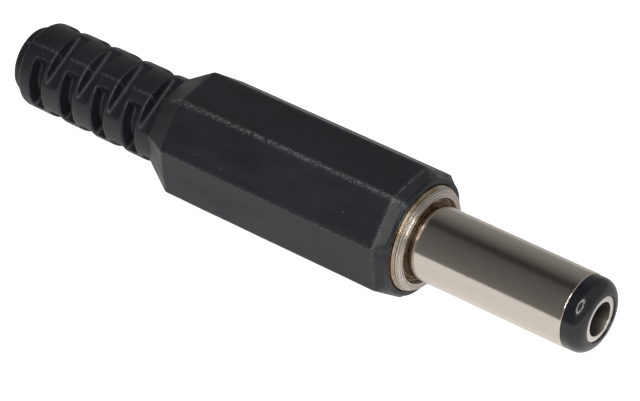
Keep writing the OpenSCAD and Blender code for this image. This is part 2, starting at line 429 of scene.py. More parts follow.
@dataclass(frozen=True)
class MouldedBlack:
    """Satin black moulding with dust, scuffed flash and faint flow marks."""

    colour: tuple[float, float, float] = (0.0105, 0.0122, 0.0155)
    scuff: tuple[float, float, float] = (0.14, 0.145, 0.155)
    dust: tuple[float, float, float] = (0.32, 0.33, 0.34)

    def build(self) -> bpy.types.Material:
        """Builds the material."""
        s = Shader("moulded_black")
        s.set(Specular_IOR_Level=0.5, IOR=1.46)
        blotch = s.noise(s.stretch(s.mm, (0.35, 1.0, 1.0)), 0.55, 3.0, 0.55)
        grain = s.noise(s.mm, 9.0, 3.0, 0.6)
        tone = s.blend(s.remap(blotch, 0.3, 0.7), self.colour, tuple(c * 1.35 for c in self.colour))
        wear = s.node("ShaderNodeAttribute", attribute_name="wear")
        uneven = s.remap(s.noise(s.mm, 6.0, 3.0, 0.7), 0.42, 0.62)
        rough_wear = s.math("MULTIPLY", wear.outputs["Fac"], uneven)
        scuffed = s.blend(rough_wear, tone, self.scuff)
        specks = s.cells(s.mm, 2.6)
        near = s.remap(specks.outputs["Distance"], 0.075, 0.045)
        split = s.node("ShaderNodeSeparateColor")
        s.link(specks.outputs["Color"], split.inputs["Color"])
        chosen = s.math("GREATER_THAN", split.outputs["Red"], 0.8)
        facing = s.node("ShaderNodeVectorMath", operation="DOT_PRODUCT")
        s.link(s.normal, facing.inputs[0])
        facing.inputs[1].default_value = (0.0, -0.7071, 0.7071)
        up = s.remap(facing.outputs["Value"], 0.75, 0.98)
        patch = s.remap(s.noise(s.mm, 0.35, 1.0), 0.38, 0.5)
        lie = s.math("MULTIPLY", s.math("MULTIPLY", near, chosen), s.math("MULTIPLY", up, patch))
        s.link(s.blend(lie, scuffed, self.dust), s.surface.inputs["Base Color"])
        roughness = s.remap(s.math("ADD", blotch, s.math("MULTIPLY", grain, 0.5)), 0.5, 1.0, 0.34, 0.52)
        s.link(roughness, s.surface.inputs["Roughness"])
        waves = s.bump(s.noise(s.stretch(s.mm, (0.5, 1.0, 1.0)), 1.1, 2.0), 0.035)
        fine = s.bump(grain, 0.006, waves)
        s.link(fine, s.surface.inputs["Normal"])
        return s.material


@dataclass(frozen=True)
class GlossBlack:
    """Glossy black moulding of the insulator."""

    colour: tuple[float, float, float] = (0.009, 0.0095, 0.012)

    def build(self) -> bpy.types.Material:
        """Builds the material."""
        s = Shader("gloss_black")
        s.set(Specular_IOR_Level=0.5, IOR=1.5)
        blotch = s.noise(s.mm, 1.2, 3.0)
        tone = s.blend(s.remap(blotch, 0.35, 0.65), self.colour, tuple(c * 1.5 for c in self.colour))
        specks = s.cells(s.mm, 1.9)
        near = s.remap(specks.outputs["Distance"], 0.06, 0.035)
        split = s.node("ShaderNodeSeparateColor")
        s.link(specks.outputs["Color"], split.inputs["Color"])
        chosen = s.math("GREATER_THAN", split.outputs["Red"], 0.8)
        lie = s.math("MULTIPLY", near, chosen)
        s.link(s.blend(lie, tone, (0.2, 0.2, 0.21)), s.surface.inputs["Base Color"])
        s.link(s.remap(s.noise(s.mm, 5.0, 3.0), 0.3, 0.7, 0.10, 0.2), s.surface.inputs["Roughness"])
        s.link(s.bump(s.noise(s.mm, 2.5, 3.0), 0.004), s.surface.inputs["Normal"])
        return s.material


@dataclass(frozen=True)
class NickelPlate:
    """Bright nickel plate with drawn lines and a blotchy brown tint that grows deeper into hollows: a stain
    together with painted shade.
    """

    name: str
    colour: tuple[float, float, float] = (0.64, 0.59, 0.53)
    stain_and_shade: tuple[float, float, float] = (0.30, 0.21, 0.12)
    roughness: float = 0.12
    stain_and_shade_from: float = -9.0
    stain_and_shade_to: float = -8.0
    groove_depth: float = 0.0
    groove_pitch: float = 0.21

    def build(self) -> bpy.types.Material:
        """Builds the material."""
        s = Shader(self.name)
        s.set(Metallic=1.0)
        split = s.node("ShaderNodeSeparateXYZ")
        s.link(s.mm, split.inputs[0])
        lines = s.noise(s.stretch(s.mm, (0.18, 5.0, 5.0)), 2.2, 4.0, 0.65)
        blotch = s.noise(s.mm, 1.4, 3.0, 0.6)
        uneven = s.math("ADD", s.math("MULTIPLY", lines, 0.6), s.math("MULTIPLY", blotch, 0.4))
        worn = s.remap(uneven, 0.35, 0.65)
        tone = s.blend(worn, tuple(c * 0.93 for c in self.colour), self.colour)
        # Blotchy brown tint that grows along the axis into a hollow: part stain, part painted shade of the
        # hollow.
        inside = s.remap(split.outputs["X"], self.stain_and_shade_to, self.stain_and_shade_from)
        stain_and_shade_patches = s.math("MULTIPLY", inside, s.remap(blotch, 0.25, 0.6))
        s.link(s.blend(stain_and_shade_patches, tone, self.stain_and_shade), s.surface.inputs["Base Color"])
        rough = s.remap(worn, 0.0, 1.0, self.roughness * 1.35, self.roughness * 0.8)
        s.link(rough, s.surface.inputs["Roughness"])
        drawn = s.bump(lines, 0.0012)
        if self.groove_depth:
            out = s.node("ShaderNodeVectorMath", operation="LENGTH")
            s.link(s.stretch(s.mm, (0.0, 1.0, 1.0)), out.inputs[0])
            along = s.math("SUBTRACT", out.outputs["Value"], split.outputs["X"])
            wave = s.math("SINE", s.math("MULTIPLY", along, math.tau / self.groove_pitch))
            drawn = s.bump(s.math("MULTIPLY", wave, 0.5), self.groove_depth, drawn)
        s.link(s.bump(s.noise(s.mm, 3.0, 3.0), 0.002, drawn), s.surface.inputs["Normal"])
        return s.material


@dataclass(frozen=True)
class StampedMetal:
    """Tinned sheet metal with rolling lines and dull patches."""

    colour: tuple[float, float, float] = (0.72, 0.66, 0.52)

    def build(self) -> bpy.types.Material:
        """Builds the material."""
        s = Shader("stamped_metal")
        s.set(Metallic=1.0)
        lines = s.noise(s.stretch(s.mm, (0.3, 4.0, 4.0)), 2.0, 4.0, 0.6)
        blotch = s.noise(s.mm, 0.9, 3.0)
        dull = s.remap(blotch, 0.35, 0.65)
        tone = s.blend(dull, self.colour, tuple(c * 0.75 for c in self.colour))
        s.link(tone, s.surface.inputs["Base Color"])
        s.link(s.remap(blotch, 0.3, 0.7, 0.2, 0.42), s.surface.inputs["Roughness"])
        s.link(s.bump(lines, 0.004), s.surface.inputs["Normal"])
        return s.material


@dataclass(frozen=True)
class WasherBoard:
    """Brown laminated board, cut across its layers."""

    colour: tuple[float, float, float] = (0.26, 0.13, 0.06)

    def build(self) -> bpy.types.Material:
        """Builds the material."""
        s = Shader("washer_board")
        s.set(Roughness=0.55)
        layers = s.noise(s.stretch(s.mm, (14.0, 1.0, 1.0)), 1.0, 2.0)
        fibres = s.noise(s.stretch(s.mm, (1.0, 1.0, 5.0)), 1.6, 3.0)
        mix = s.remap(s.math("ADD", layers, fibres), 0.7, 1.3)
        s.link(s.blend(mix, self.colour, tuple(c * 0.6 for c in self.colour)), s.surface.inputs["Base Color"])
        s.link(s.bump(fibres, 0.01), s.surface.inputs["Normal"])
        return s.material


# ---------------------------------------------------------------- threads


@dataclass
class Thread:
    """One thread form, cut on the collar and moulded in the cover."""

    major_r: float
    pitch: float = 0.75
    depth: float = 0.33
    start: float = -1.65
    end: float = -6.0
    fade: float = 0.5

    def depth_at(self, x: float, theta: float) -> float:
        """How deep the groove is below the major radius.

        Args:
            x: Place along the axis, in mm.
            theta: Angle about the axis, in radians.

        Returns:
            The depth in mm, from nothing on the crest to the full depth in the root.
        """
        turn = (x / self.pitch - theta / (2 * math.pi)) % 1.0
        ramp = abs(2 * turn - 1)
        groove = min(1.0, max(0.0, (ramp - 0.12) / 0.76))
        return self.depth * groove

    def runout(self, x: float) -> float:
        """The share of the full depth that is cut at a place, from 0 to 1."""
        inside = min(self.start - x, x - self.end)
        return min(1.0, max(0.0, inside / self.fade))


# ---------------------------------------------------------------- the moulded cover


@dataclass
class MouldedCover:
    """The octagonal grip with its strain relief, in mm along the long axis."""

    plug: Plug
    thread: Thread
    sides: int = 8
    flat_points: int = 8
    corner_points: int = 8
    corner_radius: float = 0.16
    step: float = 0.15
    rim_length: float = 0.2
    rim_r: float = 4.42
    chamfer_length: float = 0.7
    chamfer_depth: float = 0.35
    grip_length: float = 18.57
    taper_length: float = 2.68
    relief_length: float = 12.25
    root_r: float = 3.3
    tail_r: float = 3.25
    tail_round: float = 0.25
    boss_r: float = 2.58
    wiring_r: float = 3.1
    boss_round: float = 0.12
    wiring_cone: float = 1.8
    wiring_end_gap: float = 0.1
    thread_room: float = 1.0
    mouth_depth: float = 0.6
    clearance: float = 0.05
    slots: int = 4
    slot_pitch: float = 2.96
    slot_width: float = 1.12
    slot_start: float = 1.7
    deep_floor: float = 0.86
    shallow_floor: float = 2.55
    open_depth: float = 0.1
    closed_floor: float = 2.3
    slot_edge: float = 0.25
    skin_r: float = 2.2
    parting_angle: float = 22.5
    flash_height: float = 0.07
    voxel: float = 0.106
    grip_front: float = field(init=False)
    grip_back: float = field(init=False)
    root: float = field(init=False)
    relief_end: float = field(init=False)

    def __post_init__(self) -> None:
        """Works out the places along the axis."""
        self.grip_front = self.plug.mouth - self.rim_length - self.chamfer_length
        self.grip_back = self.grip_front - self.grip_length
        self.root = self.grip_back - self.taper_length
        self.relief_end = self.root - self.relief_length

    def angles(self) -> list[tuple[int, str, float]]:
        """The points around one section, as (side, flat or corner, place from -1 to 1)."""
        found = []
        for side in range(self.sides):
            for i in range(self.flat_points):
                found.append((side, "flat", -1 + 2 * (i + 0.5) / self.flat_points))
            for i in range(self.corner_points):
                found.append((side, "corner", -1 + 2 * i / (self.corner_points - 1)))
        return found

    def wobble(self, x: float, theta: float, scale: float, seed: float) -> float:
        """A smooth uneven value from -1 to 1 at a place on the grip."""
        here = Vector((x * scale, math.cos(theta) * 4 * scale + seed, math.sin(theta) * 4 * scale))
        return noise.noise(here)

    def section(self, x: float, half: float, corner: float, limit: float, flash: float) -> Ring:
        """One section of the grip.

        Args:
            x: Place along the axis.
            half: Half the distance across the flats.
            corner: Radius of the rounded corners.
            limit: Largest distance from the axis.
            flash: Height of the moulding flash on the parting corners.

        Returns:
            The section's points.
        """
        half_turn = math.pi / self.sides
        ring = []
        for side, kind, place in self.angles():
            middle = 2 * half_turn * side
            bend = corner * (1 + 0.5 * self.wobble(x, middle + half_turn, 1.3, 3.0))
            reach = (half - bend) * math.tan(half_turn)
            if kind == "flat":
                along = reach * place
                out = half
            else:
                turn = half_turn * (1 + place)
                hub = (half - bend) / math.cos(half_turn)
                out = hub * math.cos(half_turn) + bend * math.cos(turn)
                along = hub * math.sin(half_turn) + bend * math.sin(turn)
            theta = middle + math.atan2(along, out)
            radius = min(math.hypot(along, out), limit)
            if kind == "corner" and side in (1, 5):
                crest = max(0.0, 1 - abs(place) * 2.2)
                tear = max(0.0, 0.35 + 1.1 * self.wobble(x, middle, 3.1, 11.0 + side))
                radius += flash * crest * tear
            radius += 0.012 * self.wobble(x, theta, 0.45, 29.0)
            ring.append(around(radius, x, theta))
        return ring

    def grip_rings(self) -> list[tuple[float, float, float, float, float]]:
        """The grip's outer sections from the root to the rim, as arguments of section."""
        half = self.plug.half_flats
        far = 2 * half
        root_half = self.root_r * math.cos(math.pi / self.sides)
        rings = []
        taper_steps = 14
        for i in range(taper_steps):
            share = i / taper_steps
            x = self.root + self.taper_length * share
            rings.append((x, root_half + (half - root_half) * share, 0.1, far, 0.4))
        round_length = 0.12
        slope = (half - root_half) / self.taper_length
        rings.append((self.grip_back - round_length, half - slope * round_length, 0.14, far, 0.5))
        rings.append((self.grip_back, half - 0.018, self.corner_radius, far, 0.7))
        rings.append((self.grip_back + round_length, half, self.corner_radius, far, 1.0))
        steps = int(self.grip_length / self.step)
        for i in range(1, steps):
            x = self.grip_back + round_length + (self.grip_length - 2 * round_length) * i / steps
            rings.append((x, half, self.corner_radius, far, 1.0))
        rings.append((self.grip_front - 0.08, half, self.corner_radius, far, 0.9))
        rings.append((self.grip_front, half - 0.02, self.corner_radius, far, 0.6))
        chamfer_x = self.grip_front + self.chamfer_length
        chamfer_half = half - self.chamfer_depth
        chamfer_steps = 8
        corner_r = half / math.cos(math.pi / self.sides)
        for i in range(1, chamfer_steps + 1):
            share = i / chamfer_steps
            x = self.grip_front + self.chamfer_length * share
            limit = corner_r + (self.rim_r - corner_r) * share
            rings.append((x, half - self.chamfer_depth * share, 0.2, limit, 0.2))
        rim_round = 0.15
        for radius, x in arc(self.rim_r - rim_round, self.plug.mouth - rim_round, rim_round, 0, 90, 4):
            rings.append((x, min(chamfer_half, radius), 0.25, radius, 0.0))
        return rings

    def bore_outline(self) -> Outline:
        """The plain inside of the cover from the mouth to the root, without the thread."""
        seat = self.plug.mouth - self.mouth_depth
        wiring_end = self.grip_back + self.wiring_end_gap
        thread_end = self.plug.spigot_end - self.thread_room
        mouth_r = self.plug.flange_r + self.clearance
        thread_r = self.thread.major_r + self.clearance
        edge = 0.06
        return [
            (mouth_r + edge, self.plug.mouth),
            (mouth_r, self.plug.mouth - edge),
            (mouth_r, seat),
            (thread_r, seat),
            (thread_r, self.thread.start + 0.1),
            (thread_r, thread_end),
            (self.wiring_r, thread_end),
            (self.wiring_r, wiring_end),
            (self.plug.cable_hole_r, wiring_end - self.wiring_cone),
            (self.plug.cable_hole_r, self.root),
        ]

    def bore_rings(self) -> list[Ring]:
        """The inside of the cover as rings, with the thread moulded in."""
        places = [math.atan2(p[2], -p[1]) for p in self.section(0.0, 4.0, 0.2, 9.0, 0.0)]
        outline = self.bore_outline()
        rings = []
        thread_steps = int((self.thread.start - self.plug.spigot_end + 0.9) / 0.08)
        for (radius, x), (next_r, next_x) in zip(outline, outline[1:] + outline[-1:]):
            rings.append([around(radius, x, t) for t in places])
            if abs(x - self.thread.start - 0.1) > 1e-6:
                continue
            for i in range(1, thread_steps):
                at = x + (next_x - x) * i / thread_steps
                ring = []
                for t in places:
                    share = min(1.0, i / 6, (thread_steps - i) / 6)
                    rise = self.thread.depth_at(at, t) * share
                    ring.append(around(radius - rise, at, t))
                rings.append(ring)
        return rings

    def build_grip(self) -> bpy.types.Object:
        """Builds the grip as one closed skin, outside and inside."""
        skin = Skin()
        for x, half, corner, limit, flash in self.grip_rings():
            skin.add(self.section(x, half, corner, limit, flash * self.flash_height))
        for ring in self.bore_rings():
            skin.add(ring)
        return skin.to_object("cover_moulding", loop=True)

    def build_relief(self) -> bpy.types.Object:
        """Builds the strain relief before its slots are cut."""
        overlap = 0.5
        bore = self.plug.cable_hole_r
        small = self.boss_round
        outline = [(bore, self.plug.tail)]
        outline += arc(self.boss_r - small, self.plug.tail + small, small, -90, 0, 4)
        outline += [(self.boss_r, self.relief_end)]
        outline += arc(
            self.tail_r - self.tail_round, self.relief_end + self.tail_round, self.tail_round, -90, 0, 8
        )
        outline += [(self.root_r, self.root), (self.root_r, self.root + overlap), (bore, self.root + overlap)]
        return lathe("relief", outline, segments=192)

    def blade(self, name: str, start: float, end: float, floor: float) -> bpy.types.Object:
        """One blade of the mould with rounded edges.

        Args:
            name: Name of the object.
            start: First side of the blade, across the plug.
            end: Last side of the blade.
            floor: Height of the edge's lowest point.

        Returns:
            The blade, centred along the plug, with its edge down.
        """
        half = self.slot_width / 2
        edge = self.slot_edge
        outline = [(half, 2 * self.plug.half_flats), (-half, 2 * self.plug.half_flats)]
        steps = 6
        for side, first in ((-1, 180), (1, 270)):
            for i in range(steps + 1):
                angle = math.radians(first + 90 * i / steps)
                hub = side * (half - edge)
                outline.append((hub + edge * math.cos(angle), floor + edge + edge * math.sin(angle)))
        skin = Skin()
        for y in (start, end):
            skin.add([(x, y, z) for x, z in outline])
        return skin.to_object(name)

    def slot_cutter(self) -> bpy.types.Object:
        """All blades of both mould halves, repeated along the strain relief by a node tree."""
        reach = self.plug.half_flats
        group = self.blade("blade_a", -reach, -self.deep_floor, -self.open_depth)
        other = self.blade("blade_b", self.shallow_floor, reach, -self.open_depth)
        across = self.blade("blade_c", -reach, reach, self.closed_floor)
        across.data.transform(Matrix.Rotation(math.pi, 4, "X"))
        for extra in (other, across):
            work = bmesh.new()
            work.from_mesh(group.data)
            work.from_mesh(extra.data)
            work.to_mesh(group.data)
            work.free()
            bpy.data.objects.remove(extra)
        group.name = "blade_group"
        tree = SlotArray().build(group)
        cutter = bpy.data.objects.new("slot_cutter", bpy.data.meshes.new("slot_cutter"))
        bpy.context.scene.collection.objects.link(cutter)
        repeat = cutter.modifiers.new("slots", "NODES")
        repeat.node_group = tree
        inputs = {
            item.name: item.identifier
            for item in tree.interface.items_tree
            if item.in_out == "INPUT"
        }
        repeat[inputs["Count"]] = 2 * self.slots
        repeat[inputs["Spacing"]] = self.slot_pitch / 2 * MM
        repeat[inputs["Start"]] = (self.relief_end + self.slot_start) * MM
        plain_mesh(cutter)
        bpy.data.objects.remove(group)
        cutter.data.transform(Matrix.Rotation(math.radians(self.parting_angle), 4, "X"))
        back, front = self.plug.tail, self.grip_front
        outline = [(0.0, back), (self.skin_r, back), (self.skin_r, front), (0.0, front)]
        core = lathe("core", outline)
        combine(cutter, core, "DIFFERENCE")
        return cutter

    def mark_wear(self, piece: bpy.types.Object) -> None:
        """Stores how far each point is scuffed: on the flash line, the corners and the edges."""
        mesh = piece.data
        wear = mesh.attributes.new("wear", "FLOAT", "POINT")
        values = []
        step = math.pi / 4
        grip_skin_r = 4.2
        relief_skin_r = 2.4
        for vertex in mesh.vertices:
            x, y, z = (c / MM for c in vertex.co)
            theta = math.atan2(z, -y)
            off_corner = abs((theta - math.pi / 8 + step / 2) % step - step / 2)
            parting = min(abs(theta - 3 * math.pi / 8), abs(theta - 3 * math.pi / 8 + math.pi))
            value = 0.0
            radius = math.hypot(y, z)
            if x > self.root and radius > grip_skin_r:
                value = 0.3 * max(0.0, 1 - off_corner / 0.035)
                value += 0.9 * max(0.0, 1 - parting / 0.04)
                value += 0.55 * max(0.0, 1 - abs(x - self.grip_front) / 0.14)
            elif x <= self.root and radius > relief_skin_r:
                value = 0.6 * max(0.0, 1 - parting / 0.05)
            values.append(min(1.0, value))
        wear.data.foreach_set("value", values)

    def build(self) -> bpy.types.Object:
        """Builds the whole moulding."""
        relief = self.build_relief()
        cutter = self.slot_cutter()
        grip_cutter = cutter.copy()
        grip_cutter.data = cutter.data.copy()
        bpy.context.scene.collection.objects.link(grip_cutter)
        combine(relief, cutter, "DIFFERENCE")
        melt = relief.modifiers.new("melt", "REMESH")
        melt.mode = "VOXEL"
        melt.voxel_size = self.voxel * MM
        plain_mesh(relief)
        soften = relief.modifiers.new("soften", "SMOOTH")
        soften.factor = 0.5
        soften.iterations = 3
        plain_mesh(relief)
        grip = self.build_grip()
        combine(grip, grip_cutter, "DIFFERENCE")
        combine(grip, relief, "UNION")
        shade(grip, 38.0)
        self.mark_wear(grip)
        return grip

    def dress(self, piece: bpy.types.Object) -> None:
        """Gives the moulding its finish and its place in the frame."""
        piece.data.materials.clear()
        piece.data.materials.append(MouldedBlack().build())
        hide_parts("cover")
        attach(piece, Body.COVER.value)


class SlotArray:
    """A node tree that repeats the blade group along the plug, each second one turned over."""

    def build(self, group: bpy.types.Object) -> bpy.types.NodeTree:
        """Builds the tree.

        Args:
            group: The blades of one slot position.

        Returns:
            The tree, with inputs Count, Spacing and Start.
        """
        tree = bpy.data.node_groups.new("slot_array", "GeometryNodeTree")
        tree.interface.new_socket("Geometry", in_out="INPUT", socket_type="NodeSocketGeometry")
        inputs = {"Count": "NodeSocketInt", "Spacing": "NodeSocketFloat", "Start": "NodeSocketFloat"}
        for name, kind in inputs.items():
            tree.interface.new_socket(name, in_out="INPUT", socket_type=kind)
        tree.interface.new_socket("Geometry", in_out="OUTPUT", socket_type="NodeSocketGeometry")
        add = tree.nodes.new
        link = tree.links.new
        source = add("NodeGroupInput")
        result = add("NodeGroupOutput")
        row = add("GeometryNodeMeshLine")
        row.mode = "OFFSET"
        step = add("ShaderNodeCombineXYZ")
        first = add("ShaderNodeCombineXYZ")
        link(source.outputs["Count"], row.inputs["Count"])
        link(source.outputs["Spacing"], step.inputs["X"])
        link(source.outputs["Start"], first.inputs["X"])
        link(step.outputs[0], row.inputs["Offset"])
        link(first.outputs[0], row.inputs["Start Location"])
        blades = add("GeometryNodeObjectInfo")
        blades.inputs["Object"].default_value = group
        place = add("GeometryNodeInstanceOnPoints")
        link(row.outputs["Mesh"], place.inputs["Points"])
        link(blades.outputs["Geometry"], place.inputs["Instance"])
        number = add("GeometryNodeInputIndex")
        parity = add("ShaderNodeMath")
        parity.operation = "MODULO"
        link(number.outputs[0], parity.inputs[0])
        parity.inputs[1].default_value = 2.0
        angle = add("ShaderNodeMath")
        angle.operation = "MULTIPLY"
        link(parity.outputs[0], angle.inputs[0])
        angle.inputs[1].default_value = math.pi
        turn = add("ShaderNodeCombineXYZ")
        link(angle.outputs[0], turn.inputs["X"])
        link(turn.outputs[0], place.inputs["Rotation"])
        real = add("GeometryNodeRealizeInstances")
        link(place.outputs["Instances"], real.inputs[0])
        paint = add("GeometryNodeSetMaterial")
        link(real.outputs[0], paint.inputs[0])
        link(paint.outputs[0], result.inputs[0])
        return tree


# ---------------------------------------------------------------- the metal front


@dataclass
class MetalFront:
    """The turned and drawn pieces in front of the cover, in mm along the long axis."""

    plug: Plug
    thread: Thread
    rim_r: float = 3.78
    rim_length: float = 0.45
    rim_round: float = 0.38
    recess_round: float = 0.15
    flange_length: float = 0.8
    recess_width: float = 0.4
    neck_front: float = -0.1
    recess_depth: float = 0.5
    shank_step: float = 0.2
    sleeve_wall: float = 0.4
    gap: float = 0.02
    groove_width: float = 0.4
    groove_r: float = 3.1
    thread_step: float = 0.07
    contact_wall: float = 0.35
    lip_length: float = 0.65
    hole_depth: float = 12.5
    drill_point: float = 0.6
    shoulder_length: float = 2.5
    tail_r: float = 0.9
    rivet_r: float = 1.1
    rivet_height: float = 0.35

    def build_collar(self) -> bpy.types.Object:
        """Builds the collar with its thread."""
        flange_back = -self.rim_length - self.flange_length
        bore = self.plug.sleeve_r - self.shank_step + self.gap
        end = self.plug.spigot_end
        major = self.thread.major_r
        segments = 160
        skin = Skin()

        def plain(outline: Outline) -> None:
            """Adds rings of one radius each."""
            for radius, x in outline:
                skin.add([around(radius, x, 2 * math.pi * j / segments) for j in range(segments)])

        plain([(bore, end), (bore + 0.05, end), (major - 0.3, end), (major - 0.26, end + 0.03)])
        first = end + 0.3
        last = flange_back - self.groove_width
        steps = int((last - first) / self.thread_step)
        for i in range(steps + 1):
            x = first + (last - first) * i / steps
            ring = []
            for j in range(segments):
                theta = 2 * math.pi * j / segments
                cut = self.thread.depth_at(x, theta) * self.thread.runout(x)
                ring.append(around(major - cut, x, theta))
            skin.add(ring)
        plain([(major - 0.06, last + 0.02), (self.groove_r, last + 0.05), (self.groove_r, flange_back)])
        edge = 0.06
        flange_r = self.plug.flange_r
        plain([(flange_r - edge, flange_back)])
        plain(arc(flange_r - edge, flange_back + edge, edge, -90, 0, 4)[1:])
        plain(arc(flange_r - edge, -self.rim_length - edge, edge, 0, 90, 4))
        inner_fillet = 0.05
        plain(
            [
                (self.rim_r + inner_fillet, -self.rim_length),
                (self.rim_r + 0.015, -self.rim_length + 0.015),
                (self.rim_r, -self.rim_length + inner_fillet),
            ]
        )
        plain(arc(self.rim_r - self.rim_round, -self.rim_round, self.rim_round, 0, 90, 8))
        recess_r = self.plug.sleeve_r + self.recess_width
        inner = self.recess_round
        plain(arc(recess_r + inner, -inner, inner, 90, 180, 6))
        plain(
            [
                (recess_r, -self.recess_depth + 0.06),
                (recess_r - 0.06, -self.recess_depth),
                (bore, -self.recess_depth),
            ]
        )
        return skin.to_object("collar", loop=True, smooth=35.0)

    def build_sleeve(self) -> bpy.types.Object:
        """Builds the drawn sleeve."""
        r = self.plug.sleeve_r
        shank = r - self.shank_step
        inside = r - self.sleeve_wall
        end = self.plug.sleeve_end
        edge = 0.09
        outline = [(inside, self.plug.spigot_end), (shank - 0.05, self.plug.spigot_end)]
        outline += [(shank, self.plug.spigot_end + 0.05), (shank, -self.recess_depth)]
        outline += [(r - 0.02, self.neck_front - 0.04), (r, self.neck_front + 0.02)]
        outline += [(r, end * share) for share in (0.05, 0.3, 0.6, 0.9)]
        outline += arc(r - edge, end - edge, edge, 0, 90, 6)
        outline += [(inside, end)]
        return lathe("sleeve", outline, segments=192, smooth=35.0)

    def build_contact(self) -> bpy.types.Object:
        """Builds the centre contact with its drilled hole and riveted tail."""
        hole = self.plug.pin_hole_r
        lip = self.plug.lip_r
        front = self.plug.contact_end
        tube = hole + self.contact_wall
        tail = self.tail_r
        hole_end = self.plug.nose_end - self.hole_depth
        shoulder = hole_end - self.shoulder_length
        lip_back = front - self.lip_length
        rivet = self.plug.rivet_end
        rivet_front = rivet + self.rivet_height
        edge = 0.04
        outline = [(0.0, hole_end - self.drill_point), (hole, hole_end)]
        outline += [(hole, hole_end + 4.0), (hole, front - 2.0)]
        outline += arc(hole + edge, front - edge, edge, 180, 90, 4)
        outline += arc(lip - edge, front - edge, edge, 90, 0, 4)
        outline += [(lip, lip_back), (tube, lip_back), (tube, shoulder), (tail, shoulder)]
        outline += [(tail, rivet_front), (self.rivet_r, rivet_front), (self.rivet_r, rivet + 0.22)]
        outline += [(0.95, rivet + 0.1), (0.6, rivet + 0.02), (0.0, rivet)]
        return lathe("contact", outline, segments=160, smooth=35.0)

    def build(self) -> list[bpy.types.Object]:
        """Builds the three metal pieces."""
        return [self.build_collar(), self.build_sleeve(), self.build_contact()]

    def dress(self, pieces: list[bpy.types.Object]) -> None:
        """Gives the metal pieces their plate and their place in the frame."""
        # Each plate's brown tint deepens into the collar's recess, the sleeve's root in it and the contact's
        # hole: part stain, part painted shade.
        finishes = (
            NickelPlate(
                "collar_plate", roughness=0.28, stain_and_shade_from=-0.5, stain_and_shade_to=-0.15, groove_depth=0.05
            ),
            NickelPlate("sleeve_plate", stain_and_shade_from=-0.6, stain_and_shade_to=0.5),
            NickelPlate(
                "contact_plate", colour=(0.72, 0.69, 0.66), roughness=0.2, stain_and_shade_from=8.0, stain_and_shade_to=13.5
            ),
        )
        nodes = ("threaded_collar", "outer_sleeve", "centre_contact")
        for piece, finish, node in zip(pieces, finishes, nodes):
            piece.data.materials.append(finish.build())
            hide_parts(node)
            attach(piece, Body.FRONT.value)


@dataclass
class Insulator:
    """The moulded insulator with its rounded nose, in mm along the long axis."""

    plug: Plug
    nose_round: float = 0.95
    tube_r: float = 2.33
    tail_hole_r: float = 0.92
    contact_room: float = 0.37
    lip_seat_length: float = 0.67
    hole_depth: float = 15.0

    def build(self) -> bpy.types.Object:
        """Builds the insulator."""
        nose = self.plug.nose_r
        front = self.plug.nose_end
        seat = self.plug.lip_r + 0.02
        back = self.plug.spigot_end - 0.4
        seat_back = self.plug.contact_end - self.lip_seat_length
        tube_hole_r = self.plug.pin_hole_r + self.contact_room
        hole_back = front - self.hole_depth
        outline = [(self.tail_hole_r, back), (self.tube_r, back), (self.tube_r, self.plug.sleeve_end)]
        outline += [(nose - 0.04, self.plug.sleeve_end), (nose, self.plug.sleeve_end + 0.04)]
        outline += arc(nose - self.nose_round, front - self.nose_round, self.nose_round, 0, 90, 24)
        outline += [(seat, front), (seat, seat_back), (tube_hole_r, seat_back)]
        outline += [(tube_hole_r, hole_back), (self.tail_hole_r, hole_back)]
        return lathe("insulator_body", outline, segments=192, smooth=30.0)

    def dress(self, piece: bpy.types.Object) -> None:
        """Gives the insulator its finish and its place in the frame."""
        piece.data.materials.append(GlossBlack().build())
        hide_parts("insulator")
        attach(piece, Body.FRONT.value)


@dataclass
class SolderEnd:
    """The stamped terminals and the washer between them."""

    edge: float = 0.05

    def softened(self, node: str, name: str) -> bpy.types.Object:
        """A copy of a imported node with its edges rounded.

        Args:
            node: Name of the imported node.
            name: Name of the new piece.

        Returns:
            The piece.
        """
        mesh = frame["nodes"][node].data.copy()
        mesh.materials.clear()
        work = bmesh.new()
        work.from_mesh(mesh)
        bmesh.ops.remove_doubles(work, verts=work.verts, dist=0.001 * MM)
        bmesh.ops.dissolve_limit(
            work, angle_limit=math.radians(1.0), verts=work.verts, edges=work.edges
        )
        work.to_mesh(mesh)
        work.free()
        piece = bpy.data.objects.new(name, mesh)
        bpy.context.scene.collection.objects.link(piece)
        soften = piece.modifiers.new("edges", "BEVEL")
        soften.width = self.edge * MM
        soften.segments = 2
        soften.limit_method = "ANGLE"
        soften.angle_limit = math.radians(40)
        plain_mesh(piece)
        shade(piece, 35.0)
        return piece

    def build(self) -> list[bpy.types.Object]:
        """Builds the three pieces."""
        return [
            self.softened("ground_lug", "ground_solder_lug"),
            self.softened("rear_washer", "rear_board_washer"),
            self.softened("centre_terminal", "centre_solder_tab"),
        ]

    def dress(self, pieces: list[bpy.types.Object]) -> None:
        """Gives the pieces their finishes and their place in the frame."""
        metal = StampedMetal().build()
        board = WasherBoard().build()
        plan = (
            ("ground_lug", metal, Slot.TINNED_BRASS),
            ("rear_washer", board, Slot.WASHER_BOARD),
            ("centre_terminal", metal, Slot.TINNED_BRASS),
        )
        for piece, (node, material, slot) in zip(pieces, plan):
            piece.data.materials.append(material)
            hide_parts(node)
            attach(piece, Body.FRONT.value)


# ---------------------------------------------------------------- studio


